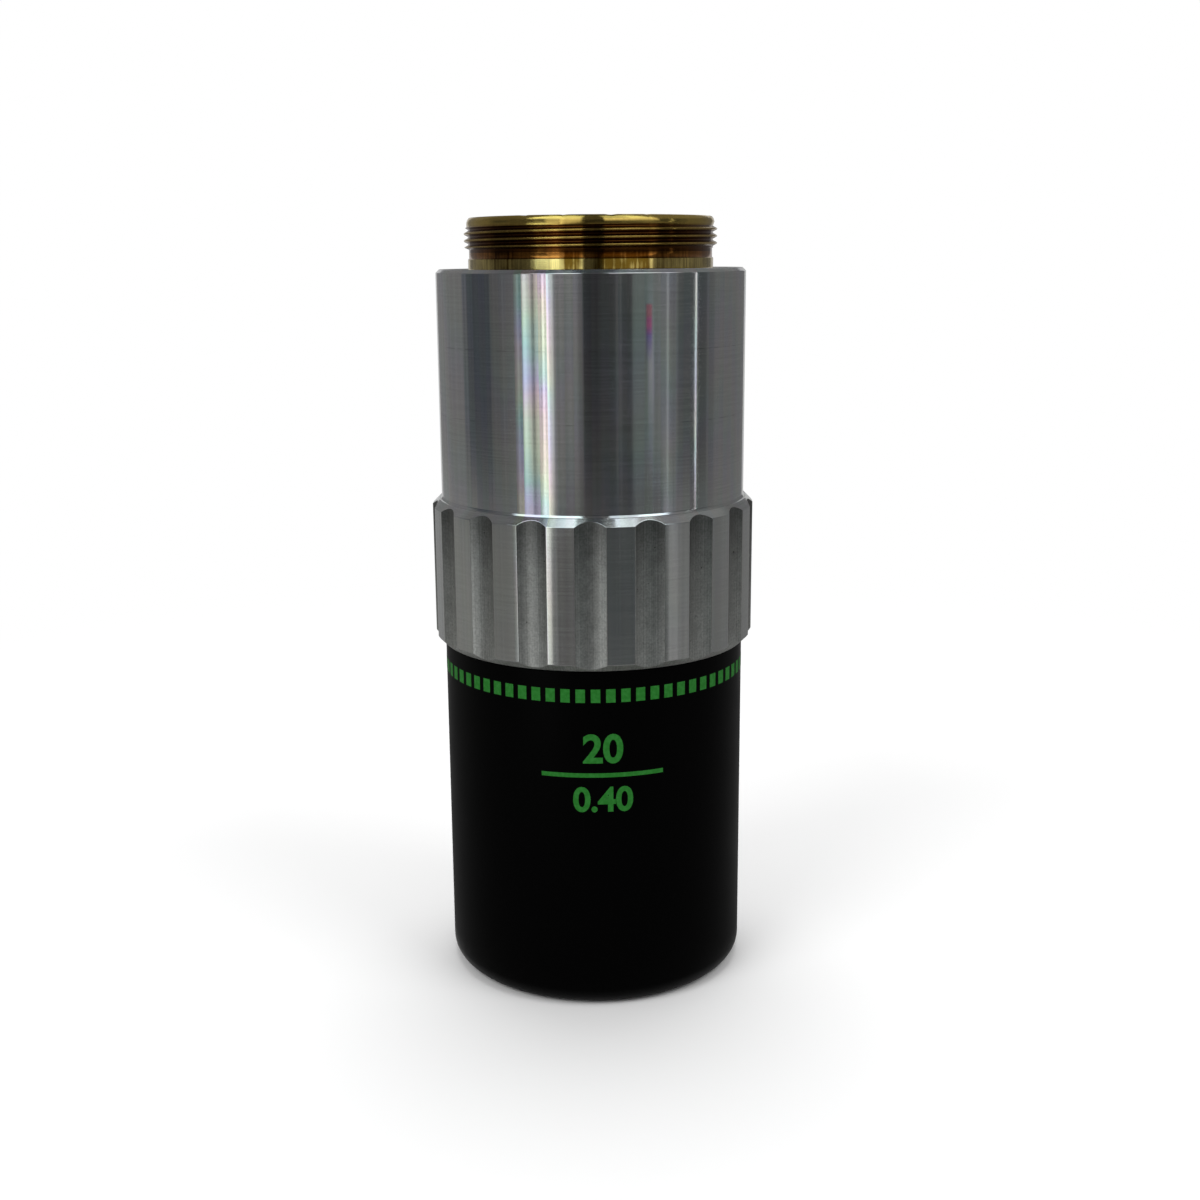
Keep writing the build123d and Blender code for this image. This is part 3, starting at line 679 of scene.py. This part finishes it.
def makeAgedAndShadedBrass():
    look, b = brassLook, brassMount
    material, tree = newMaterial("agedAndShadedBrass")
    lines = turningLines(tree, look["linePitch"], look["lineBreaks"])
    clouds = cloudiness(tree, look["cloudSize"], detail=4.0)
    turn, height = around(tree)
    fromBack = addNode(tree, "ShaderNodeMath", {0: turn, 1: 0.5}, operation="ADD")
    bright, oliveTarnishAndShade, brown, valleyStainAndShade, crest, lead = [hexColour(look[tone]) for tone in (
        "bright", "oliveTarnishAndShade", "brown", "valleyStainAndShade", "crest", "lead")]
    # stain by height: neck, relief, thread and lead-in
    neckEnd, reliefEnd, threadEnd = [(b[end] - b["seat"]) / (b["top"] - b["seat"]) for end in (
        "neckHigh", "threadLow", "threadHigh")]
    neckBlend, reliefBlend, threadBlend = look["blends"]
    up = addNode(tree, "ShaderNodeMapRange", spanned(height, (b["seat"] * mm, b["top"] * mm)))
    stain = addNode(tree, "ShaderNodeValToRGB", {0: up}, stops=[
        (0.0, bright), (1.0, lead), (neckEnd - neckBlend, bright), (neckEnd + neckBlend, brown),
        (reliefEnd, brown), (reliefEnd + reliefBlend, crest),
        (threadEnd, crest), (threadEnd + threadBlend, lead)])
    # the thread's valleys lie nearer the axis than its crests; their stain reaches up the flanks as painted
    # shade that keeps the crests' highlights thin
    coordinates = addNode(tree, "ShaderNodeTexCoord")
    flat = addNode(tree, "ShaderNodeVectorMath", {
        0: coordinates.outputs["Object"], 1: (1, 1, 0)}, operation="MULTIPLY")
    radius = addNode(tree, "ShaderNodeVectorMath", {0: flat}, operation="LENGTH")
    crestSide, rootSide = look["valleySpan"]
    depth = addNode(tree, "ShaderNodeMapRange", spanned(
        radius.outputs["Value"], ((b["crest"] - crestSide) * mm, (b["root"] + rootSide) * mm)))
    lowEnd, highEnd = look["valleyEnds"]
    inValley = depth
    for limit, side in ((b["threadLow"] + lowEnd, "GREATER_THAN"), (b["threadHigh"] - highEnd, "LESS_THAN")):
        within = addNode(tree, "ShaderNodeMath", {0: height, 1: limit * mm}, operation=side)
        inValley = addNode(tree, "ShaderNodeMath", {0: inValley, 1: within}, operation="MULTIPLY")
    threaded = addNode(tree, "ShaderNodeMix", {0: inValley, 6: stain, 7: valleyStainAndShade}, data_type="RGBA")
    # dull where hands and caps have not rubbed it, in upright wiped streaks, with painted shade in the dark
    # bands at the front
    dullAndShadedRound = addNode(tree, "ShaderNodeValToRGB", {0: fromBack}, stops=[
        (share, grey(darkening)) for share, darkening in look["dullnessAndShade"]])
    wiped = streaksAround(tree, fromBack, look["wipedAround"], detail=2.0)
    uneven = addNode(tree, "ShaderNodeMath", {0: clouds, 1: wiped}, operation="ADD")
    patches = addNode(tree, "ShaderNodeMapRange", spanned(uneven, look["uneven"], look["patches"]))
    neckShare, threadShare, rimShare = [grey(share) for share in look["dullAndShadeByHeight"]]
    byHeight = addNode(tree, "ShaderNodeValToRGB", {0: up}, stops=[
        (0.0, neckShare), (1.0, rimShare), (reliefEnd, neckShare), (reliefEnd + reliefBlend, threadShare),
        (threadEnd, threadShare), (threadEnd + threadBlend, rimShare)])
    tarnishAndShade = addNode(tree, "ShaderNodeMath", {0: dullAndShadedRound, 1: patches}, operation="ADD", use_clamp=True)
    tarnishAndShade = addNode(tree, "ShaderNodeMath", {
        0: tarnishAndShade, 1: byHeight}, operation="MULTIPLY", use_clamp=True)
    agedAndShaded = addNode(tree, "ShaderNodeMix", {
        0: tarnishAndShade, 6: threaded.outputs[2], 7: oliveTarnishAndShade}, data_type="RGBA", blend_type="MULTIPLY")
    colour = addNode(tree, "ShaderNodeMix", {
        0: pits(tree, *look["specks"]), 6: agedAndShaded.outputs[2], 7: valleyStainAndShade}, data_type="RGBA")
    roughness = addNode(tree, "ShaderNodeMapRange", spanned(clouds, noiseUpper, look["roughness"]))
    bump = addNode(tree, "ShaderNodeBump", relief(lines, *look["lineBump"]))
    finishMetal(tree, colour, roughness, look["anisotropy"], bump)
    return material


def threadRadius(angle, z):
    # a right-hand thread with clipped crests and roots, run out at both ends
    b = brassMount
    phase = ((z - b["threadLow"]) / b["pitch"] - angle / 360 + b["threadTurn"]) % 1
    flank = min(1, max(0, (1 - abs(2 * phase - 1) - b["rootFlat"]) / b["flankShare"]))
    flank = 0.5 * flank + 0.5 * flank * flank * (3 - 2 * flank)   # half straight, half rounded
    r = b["root"] + (b["crest"] - b["root"]) * flank
    lowEnd = max(b["relief"], b["relief"] + b["lowSlope"] * (z - b["runOut"]))
    highEnd = b["lead"] + b["highSlope"] * (b["threadHigh"] - z)
    return min(r, lowEnd, highEnd)


def nickDepth(angle):
    deepest = 0.0
    for middle, width, depth in brassMount["nicks"]:
        off = abs((angle - middle + 180) % 360 - 180) / width
        if off < 1:
            deepest = max(deepest, depth * (1 - off * off) ** 2)
    return deepest


def brassOutline(angle):
    b = brassMount
    top = b["top"] - nickDepth(angle)
    rows = round((b["threadHigh"] - b["threadLow"]) / b["pitch"] * b["rowsPerTurn"])
    thread = [b["threadLow"] + (b["threadHigh"] - b["threadLow"]) * i / rows for i in range(rows + 1)]

    def corner(radius, height, steps):
        return [(radius + outwards, height + upwards) for outwards, upwards in steps]

    return [
        (b["webBore"], b["low"]), (b["foot"], b["low"]), (b["foot"], b["seat"]),
        *corner(b["neck"], b["seat"], b["neckFoot"]),
        *corner(b["neck"], b["neckHigh"], b["neckEdge"]),
        (b["relief"], b["neckHigh"] + b["reliefRise"]),
        *[(threadRadius(angle, z), z) for z in thread],
        *corner(b["lead"], b["leadHigh"], b["leadEdge"]),
        *corner(b["lead"], top, b["rimEdge"]),
        *corner(b["bore"] + b["boreEdge"], top, b["boreRim"]),
        *corner(b["bore"], b["top"] - b["boreEdge"], b["boreFoot"]),
        (b["bore"], b["webHigh"]), (b["webBore"], b["webHigh"])]


def makeBrassMount():
    b = brassMount
    columns = [360 * i / b["columns"] for i in range(b["columns"])]
    mesh = turnedMesh(columns, brassOutline)
    for border in mesh.edges:
        if len(border.link_faces) == 2 and border.calc_face_angle(0) > math.radians(b["creaseFrom"]):
            border.smooth = False
    addPiece("brass_mount", mesh, [makeAgedAndShadedBrass()], "rear_mount")


makeBrassMount()
print("brass mount made")


# Finishes of the inner parts, whose solids are shown as they are:
# name, colour, colour of the worn lines, metallic, roughness and pitch of the lines in mm
innerLook = {
    # dyed oxide: matt, faint turning rings
    "stop_black": ("blackAnodisedAluminium", "#0d0d10", "#1b1b1f", 0.2, 0.42, 0.14),
    # plain turned brass, warm and even
    "tube_brass": ("satinTurnedBrass", "#c4a052", "#a58440", 1.0, 0.3, 0.12),
    # chemically blacked brass, with warmer turning lines
    "cell_brass": ("blackenedBrass", "#15120e", "#2b241a", 0.7, 0.4, 0.1),
    # grub screws of steel, turned and left uncoated
    "screw_steel": ("plainTurnedSteel", "#8f9092", "#6e6f71", 1.0, 0.33, 0.09),
}
innerShared = {"worn": (0.4, 0.7), "cloudSize": 2.0, "rougher": (-0.05, 0.06), "lineBump": (0.3, 0.004)}
# Glass, ground and polished, with a hard fluoride coat that reflects faint violet: name, colour and index
glassLook = {
    "crown_glass": ("polishedCrownGlass", "#f4fbf8", 1.52),
    "flint_glass": ("polishedFlintGlass", "#fbf8ee", 1.62),
}
# The coat is about a quarter wave thick, in nanometres
coating = {"thickness": (96.0, 118.0), "cloudSize": 6.0, "index": 1.38}


def makeInnerFinishes():
    finishes = {}
    for slotName, (name, colour, worn, metallic, roughness, pitch) in innerLook.items():
        material, tree = newMaterial(name)
        lines = turningLines(tree, pitch)
        wear = addNode(tree, "ShaderNodeMapRange", spanned(lines, innerShared["worn"]))
        tone = addNode(tree, "ShaderNodeMix", {
            0: wear, 6: hexColour(colour), 7: hexColour(worn)}, data_type="RGBA")
        rough = addNode(tree, "ShaderNodeMapRange", spanned(
            cloudiness(tree, innerShared["cloudSize"]), noiseWide,
            [roughness + more for more in innerShared["rougher"]]))
        bump = addNode(tree, "ShaderNodeBump", relief(lines, *innerShared["lineBump"]))
        shader = addNode(tree, "ShaderNodeBsdfPrincipled", {
            "Base Color": tone.outputs[2], "Metallic": metallic, "Roughness": rough,
            "Normal": bump})
        addNode(tree, "ShaderNodeOutputMaterial", {"Surface": shader})
        finishes[slotName] = material
    for slotName, (name, colour, index) in glassLook.items():
        material, tree = newMaterial(name)
        coat = addNode(tree, "ShaderNodeMapRange", spanned(
            cloudiness(tree, coating["cloudSize"]), noiseWide, coating["thickness"]))
        shader = addNode(tree, "ShaderNodeBsdfPrincipled", {
            "Base Color": hexColour(colour), "Roughness": 0.0, "IOR": index, "Transmission Weight": 1.0,
            "Thin Film Thickness": coat, "Thin Film IOR": coating["index"]})
        addNode(tree, "ShaderNodeOutputMaterial", {"Surface": shader})
        finishes[slotName] = material
    return finishes


innerFinishes = makeInnerFinishes()
for part in frame["record"]["subparts"]:
    if part["material_slot"] in innerFinishes:
        for materialSlot in frame["nodes"][part["node"]].material_slots:
            materialSlot.material = innerFinishes[part["material_slot"]]
print("inner finishes made")


# Studio: pale floor, soft lamps, and a ring of cards that only reflections see.
# Card sizes and heights in mm, angles in degrees round from the front, the rest in metres.
studio = {
    "floorColour": "#fafafa", "floorSize": 3.0, "floorParts": 8,
    "floorDrop": 0.02,   # mm below the front rim
    "paperGrain": 1 / 0.7, "paperBump": (0.02, 0.05),   # mm
    "fadeFrom": 0.06, "fadeTo": 0.2,   # from here to there the paper passes into plain white
    "skyForLight": 0.5,   # how bright the sky is as a light; seen directly it is 1
    "wallRadius": 110.0, "roofRadius": 75.0, "cardStep": 0.5,
    "floorHole": 17.5, "roofHole": 0.1, "flatStep": 4,
    # heights of the wall, each with the tier of cards that it shows
    "wallRows": [
        (0.1, "low"), (34.0, "low"), (44.0, "middle"), (108.0, "middle"), (122.0, "high"),
        (200.0, "high"), (260.0, "high")],
    "floorCard": 0.22, "roofCard": 0.09,   # brightness of the flat cards below and above
    # lit panels in the roof: brightness, tint, and metres from the middle to each side and to front and back
    "panel": 2.6, "panelTint": "#e4f2f6", "panelCentre": 0.005,
    "panelSide": (0.033, 0.078), "panelReach": (0.042, 0.08),
    "streaks": (0.72, 1.26), "streakWidth": 1.1,   # how uneven the wall is, and over how many degrees
    # each card: where it starts, how bright it is and its tint
    "middle": [
        (-180, 0.16, "#ffffff"), (-165, 0.6, "#ffffff"), (-152, 0.22, "#ffffff"),
        (-125, 0.2, "#ffffff"), (-101.5, 0.15, "#f0f6fc"), (-96, 0.1, "#e8f2fc"),
        (-90, 0.085, "#e6f0ff"), (-73, 0.125, "#f6f8f8"), (-64, 0.15, "#f6f8f8"),
        (-53, 0.3, "#f6f8f8"), (-51, 0.55, "#eafaff"), (-49.5, 0.25, "#eafaff"),
        (-47, 1.35, "#eafaff"), (-44, 0.95, "#eafaff"), (-42.5, 0.7, "#f4faff"),
        (-41, 0.42, "#f4faff"), (-39.5, 0.18, "#f4faff"), (-38.5, 0.6, "#ffffff"),
        (-37, 0.85, "#ffffff"), (-34, 0.42, "#ffffff"), (-33, 1.9, "#ffffff"),
        (-31.5, 0.7, "#ffffff"), (-30, 1.9, "#ffffff"), (-28.5, 0.85, "#ffffff"),
        (-27, 0.75, "#fafcf6"), (-25.5, 0.3, "#ffffff"), (-24.5, 0.2, "#ffffff"),
        (-8.5, 0.135, "#ffffff"), (-5.4, 0.038, "#f4f8ff"), (5, 0.048, "#f6fbff"),
        (16, 0.09, "#f6fbff"), (18.5, 0.055, "#f4f8fc"), (27.5, 0.165, "#e8faf6"),
        (43.5, 0.2, "#f0f8f8"), (56, 0.17, "#f2f8fa"), (61.5, 0.1, "#f0f8fa"),
        (75.5, 0.09, "#f2f8fa"), (87, 0.13, "#fafcff"), (95, 0.165, "#ffffff"),
        (150, 0.55, "#ffffff"), (163, 0.2, "#ffffff")],
    "low": [
        (-180, 0.2, "#ffffff"), (-165, 0.55, "#ffffff"), (-150, 0.28, "#ffffff"),
        (-128, 0.25, "#fffffa"), (-88, 0.19, "#fffffa"), (-52, 0.5, "#ffffff"), (-46, 0.7, "#ffffff"),
        (-41, 0.35, "#ffffff"), (-34.5, 1.7, "#ffffff"), (-29.5, 0.9, "#fffcf6"),
        (-27, 0.2, "#ffffff"), (-23, 0.125, "#fffbfa"), (-8, 0.1, "#fffbfa"), (8, 0.09, "#f4fcff"),
        (29, 0.12, "#fafffc"), (50, 0.3, "#ffffff"), (57, 0.22, "#ffffff"), (72, 0.17, "#ffffff"),
        (95, 0.19, "#ffffff"), (150, 0.55, "#ffffff"), (163, 0.25, "#ffffff")],
    "high": [
        (-180, 0.25, "#ffffff"), (-120, 0.16, "#ffffff"), (-64, 2.2, "#e4f2f6"), (-9, 0.1, "#ffffff"),
        (14, 1.3, "#e4f2f6"), (38, 2.3, "#e4f2f6"), (62, 0.25, "#ffffff"), (150, 0.9, "#ffffff")],
    # thin bright strips on the middle tier: where, width and brightness
    "strips": [
        (-61, 0.5, 0.2), (-56, 0.5, 0.12), (-18, 0.5, 0.12), (19.5, 1.0, 0.08), (47, 0.5, 0.1),
        (53, 1.0, 0.4), (76.5, 1.5, 1.7)],
    # small cards before the wall: radius, lowest, highest, from, to, colours of foot and head, brightness
    "smallCards": [
        (30, 76.6, 92, -66, -43, "#ffffff", "#ffffff", 0.1),
        (30, 76.6, 92, -43, -33, "#e8e8e8", "#ffffff", 0.15),
        (30, 76.6, 92, -33, -22, "#a0a0a0", "#ffffff", 0.95),
        (30, 76.6, 92, -22, -6.5, "#6c6c6c", "#ffffff", 2.1),
        (30, 76.6, 92, 10, 52, "#404040", "#ffffff", 2.0),
        (109, 53, 64, 38.5, 42.5, "#e0e0ff", "#ffffff", 0.45)],
    # lamps: where, width and power; they shine at the objective's middle
    "lamps": [((-0.45, -0.5, 0.6), 0.5, 2.4), ((0.5, -0.35, 0.7), 0.5, 1.8), ((0.0, 0.3, 0.9), 0.6, 3.4)],
    "lampTarget": (0, 0, 0.04),
}


def seenDirectly(tree):
    # 1 for what the eye sees, also mirrored or through glass, 0 for what only lights
    path = addNode(tree, "ShaderNodeLightPath")
    seen = path.outputs["Is Camera Ray"]
    for kind in ("Is Glossy Ray", "Is Transmission Ray"):
        seen = addNode(tree, "ShaderNodeMath", {0: seen, 1: path.outputs[kind]}, operation="MAXIMUM")
    return seen


def makeFloor():
    s = studio
    material, tree = newMaterial("paleFloorPaper")
    coordinates = addNode(tree, "ShaderNodeTexCoord")
    distance = addNode(tree, "ShaderNodeVectorMath", {
        0: coordinates.outputs["Object"]}, operation="LENGTH")
    fade = addNode(tree, "ShaderNodeMapRange", spanned(
        distance.outputs["Value"], (s["fadeFrom"], s["fadeTo"])), interpolation_type="SMOOTHSTEP")
    share = addNode(tree, "ShaderNodeMath", {0: fade, 1: seenDirectly(tree)}, operation="MULTIPLY")
    bump = addNode(tree, "ShaderNodeBump", relief(cloudiness(tree, s["paperGrain"]), *s["paperBump"]))
    paper = addNode(tree, "ShaderNodeBsdfDiffuse", {"Color": hexColour(s["floorColour"]), "Normal": bump})
    glow = addNode(tree, "ShaderNodeEmission", {"Color": grey(1), "Strength": 1.0})
    mixed = addNode(tree, "ShaderNodeMixShader", {0: share, 1: paper, 2: glow})
    addNode(tree, "ShaderNodeOutputMaterial", {"Surface": mixed})
    mesh = bmesh.new()
    bmesh.ops.create_grid(
        mesh, x_segments=s["floorParts"], y_segments=s["floorParts"], size=s["floorSize"])
    floor = addObject("floor", mesh, [material])
    floor.location.z = -s["floorDrop"] * mm


def finishGlow(tree, colour, strength):
    glow = addNode(tree, "ShaderNodeEmission", {"Color": colour, "Strength": strength})
    addNode(tree, "ShaderNodeOutputMaterial", {"Surface": glow})


def cardMaterials():
    s = studio
    # wall: each corner holds its own light, and thin streaks make it uneven
    wall, tree = newMaterial("studioCards")
    held = addNode(tree, "ShaderNodeAttribute", attribute_name="shine")
    streaks = streaksAround(tree, around(tree)[0], 360 / s["streakWidth"])
    uneven = addNode(tree, "ShaderNodeMapRange", spanned(streaks, noiseWide, s["streaks"]))
    finishGlow(tree, held.outputs["Color"], uneven)
    below, tree = newMaterial("greyCard")
    finishGlow(tree, grey(1), s["floorCard"])
    # overhead it is dim, but for lit panels left and right, before and behind
    above, tree = newMaterial("roofCard")
    coordinates = addNode(tree, "ShaderNodeTexCoord")
    parts = addNode(tree, "ShaderNodeSeparateXYZ", {0: coordinates.outputs["Object"]})
    lit = 1.0
    for part, centre, (near, far) in ((0, s["panelCentre"], s["panelSide"]), (1, 0.0, s["panelReach"])):
        off = awayFrom(tree, parts.outputs[part], centre)
        for side, limit in (("GREATER_THAN", near), ("LESS_THAN", far)):
            within = addNode(tree, "ShaderNodeMath", {0: off, 1: limit}, operation=side)
            lit = addNode(tree, "ShaderNodeMath", {0: lit, 1: within}, operation="MULTIPLY")
    strength = addNode(tree, "ShaderNodeMapRange", spanned(lit, (0.0, 1.0), (s["roofCard"], s["panel"])))
    finishGlow(tree, hexColour(s["panelTint"]), strength)
    return wall, below, above


def cardLight(tier, angle):
    # the light of a tier's card at this angle, as a colour
    level, tint = [(level, tint) for start, level, tint in studio[tier] if start <= angle][-1]
    if tier == "middle":
        level += sum(extra for middle, width, extra in studio["strips"] if abs(angle - middle) < width / 2)
    return Vector(hexColour(tint)[:3]) * level


def makeCards():
    s = studio
    mesh = bmesh.new()
    shine = mesh.loops.layers.float_color.new("shine")

    def addCard(start, end, nearer, farther, lights, finish=0):
        # a patch between two angles, from one (radius, height) to another, with a light at each end
        (r1, z1), (r2, z2) = nearer, farther
        corners = [(r1, start, z1), (r1, end, z1), (r2, end, z2), (r2, start, z2)]
        face = mesh.faces.new([mesh.verts.new(place(*corner)) for corner in corners])
        face.material_index = finish
        for loop, light in zip(face.loops, (lights[0], lights[0], lights[1], lights[1])):
            loop[shine] = (*light, 1.0)

    step = s["cardStep"]
    lowest, highest = s["wallRows"][0][0], s["wallRows"][-1][0]
    for i in range(round(360 / step)):
        angle = -180 + step * i
        for (low, lowTier), (high, highTier) in zip(s["wallRows"], s["wallRows"][1:]):
            inner = s["roofRadius"] if high == highest else s["wallRadius"]
            lights = cardLight(lowTier, angle + step / 2), cardLight(highTier, angle + step / 2)
            addCard(angle, angle + step, (s["wallRadius"], low), (inner, high), lights)
    for radius, low, high, start, end, foot, head, level in s["smallCards"]:
        lights = Vector(hexColour(foot)[:3]) * level, Vector(hexColour(head)[:3]) * level
        for i in range(round((end - start) / step)):
            angle = start + step * i
            addCard(angle, angle + step, (radius, low), (radius, high), lights)
    unlit = (Vector((0, 0, 0)),) * 2   # the flat cards' light is in their materials
    for i in range(round(360 / s["flatStep"])):
        start, end = s["flatStep"] * i, s["flatStep"] * (i + 1)
        addCard(start, end, (s["floorHole"], lowest), (s["wallRadius"], lowest), unlit, 1)
        addCard(start, end, (s["roofHole"], highest), (s["roofRadius"], highest), unlit, 2)
    cards = addObject("cards", mesh, cardMaterials())
    cards.visible_camera = False
    cards.visible_diffuse = False
    cards.visible_transmission = False
    cards.visible_shadow = False


def makeLight():
    s = studio
    for i, (where, size, power) in enumerate(s["lamps"]):
        light = bpy.data.lights.new("softLamp" + str(i), "AREA")
        light.shape = "DISK"
        light.size = size
        light.energy = power
        lamp = bpy.data.objects.new(light.name, light)
        lamp.location = where
        towards = Vector(s["lampTarget"]) - Vector(where)
        lamp.rotation_euler = towards.to_track_quat("-Z", "Y").to_euler()
        lamp.visible_glossy = False   # metal shows the cards instead
        bpy.context.scene.collection.objects.link(lamp)
    world = bpy.data.worlds.new("paleSky")
    world.use_nodes = True
    world.node_tree.nodes.clear()
    tree = world.node_tree
    strength = addNode(tree, "ShaderNodeMapRange", spanned(
        seenDirectly(tree), (0.0, 1.0), (s["skyForLight"], 1.0)))
    sky = addNode(tree, "ShaderNodeBackground", {"Color": grey(1), "Strength": strength})
    addNode(tree, "ShaderNodeOutputWorld", {"Surface": sky})
    world.cycles.sampling_method = "NONE"   # the cards would not hide a sampled sky from the metal
    bpy.context.scene.world = world


# Camera at the photograph's viewing angle: metres, degrees, and mm for the lens
view = {
    "where": (0.0, -0.16122, 0.0762), "down": 12.716, "roll": -0.467,
    "lens": 45.7, "sensor": 36.0, "shift": 0.0055, "clipStart": 0.005,
}


def makeCamera():
    data = bpy.data.cameras.new("camera")
    data.lens = view["lens"]
    data.sensor_width = view["sensor"]
    data.shift_x = view["shift"]
    data.clip_start = view["clipStart"]
    camera = bpy.data.objects.new("camera", data)
    tilt = Matrix.Rotation(math.radians(90 - view["down"]), 4, "X")
    roll = Matrix.Rotation(math.radians(view["roll"]), 4, "Z")
    camera.matrix_world = Matrix.Translation(view["where"]) @ tilt @ roll
    bpy.context.scene.collection.objects.link(camera)
    bpy.context.scene.camera = camera


makeFloor()
makeCards()
makeLight()
makeCamera()
bpy.context.scene.view_settings.view_transform = "Standard"
print("studio made")
